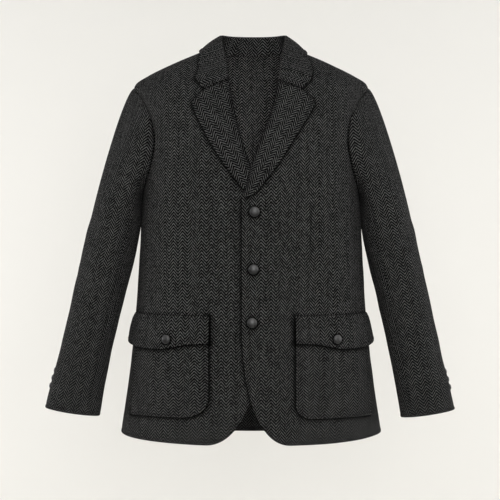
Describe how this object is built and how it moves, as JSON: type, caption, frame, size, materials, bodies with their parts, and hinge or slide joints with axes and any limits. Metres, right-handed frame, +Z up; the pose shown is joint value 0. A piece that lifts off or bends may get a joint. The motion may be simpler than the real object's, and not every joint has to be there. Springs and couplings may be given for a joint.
{
  "type": "tweed hacking jacket",
  "caption": "Buttoned tweed hacking jacket, filled out and hollow, with notched lapels, flapped patch pockets, cutaway front corners and tapered sleeves with buttoned cuffs.",
  "frame": {"origin": "middle of the neck opening at the height where the collar's back seam and the shoulders start, where a hanger or the wearer's shoulders carry the jacket", "axes": "+Z up, -Y to the front, +X to the wearer's left"},
  "size_m": [0.7888, 0.2656, 0.7892],
  "materials": {
    "charcoal_tweed": "soft wool herringbone tweed",
    "button_leather": "knotted leather with a low sheen"
  },
  "bodies": {
    "root": {"front_left": "charcoal_tweed", "front_right": "charcoal_tweed", "back": "charcoal_tweed", "sleeve_upper_left": "charcoal_tweed", "sleeve_upper_right": "charcoal_tweed", "sleeve_under_left": "charcoal_tweed", "sleeve_under_right": "charcoal_tweed", "collar": "charcoal_tweed", "lapel_left": "charcoal_tweed", "lapel_right": "charcoal_tweed", "pocket_left": "charcoal_tweed", "pocket_right": "charcoal_tweed", "flap_left": "charcoal_tweed", "flap_right": "charcoal_tweed", "button_front_1": "button_leather", "button_front_2": "button_leather", "button_front_3": "button_leather", "button_flap_left": "button_leather", "button_flap_right": "button_leather", "button_cuff_left_1": "button_leather", "button_cuff_left_2": "button_leather", "button_cuff_left_3": "button_leather", "button_cuff_right_1": "button_leather", "button_cuff_right_2": "button_leather", "button_cuff_right_3": "button_leather"}
  },
  "joints": []
}
